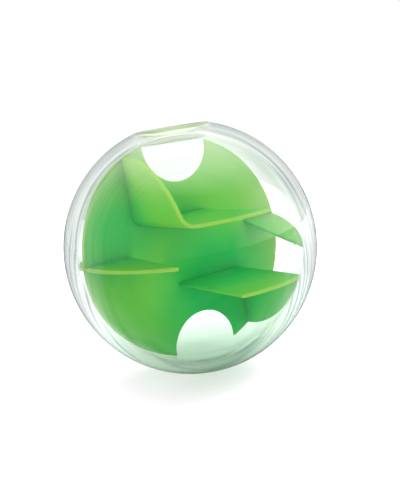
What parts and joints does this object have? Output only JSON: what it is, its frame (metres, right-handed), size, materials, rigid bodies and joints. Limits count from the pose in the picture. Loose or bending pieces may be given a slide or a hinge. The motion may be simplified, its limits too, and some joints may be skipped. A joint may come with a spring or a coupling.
{
  "type": "treat maze ball",
  "caption": "Clear round shell with a mouth at one pole, holding a green maze of a round divider, bent baffles and side shelves that treats tumble through.",
  "frame": {"origin": "lowest point of the ball, opposite the mouth", "axes": "+Z runs from the lowest point up through the mouth; the divider stands in the XZ plane and its front side faces -Y"},
  "size_m": [0.12, 0.12, 0.1176],
  "materials": {
    "clear_shell": "glossy clear moulded elastomer",
    "green_divider": "satin translucent green",
    "green_baffle": "satin translucent green",
    "green_shelf": "satin translucent green"
  },
  "bodies": {
    "root": {"shell_upper": "clear_shell", "shell_lower": "clear_shell", "maze_divider": "green_divider", "front_upper_baffle": "green_baffle", "front_lower_baffle": "green_baffle", "back_upper_baffle": "green_baffle", "back_lower_baffle": "green_baffle", "front_left_shelf": "green_shelf", "front_right_shelf": "green_shelf", "back_left_shelf": "green_shelf", "back_right_shelf": "green_shelf"}
  },
  "joints": []
}
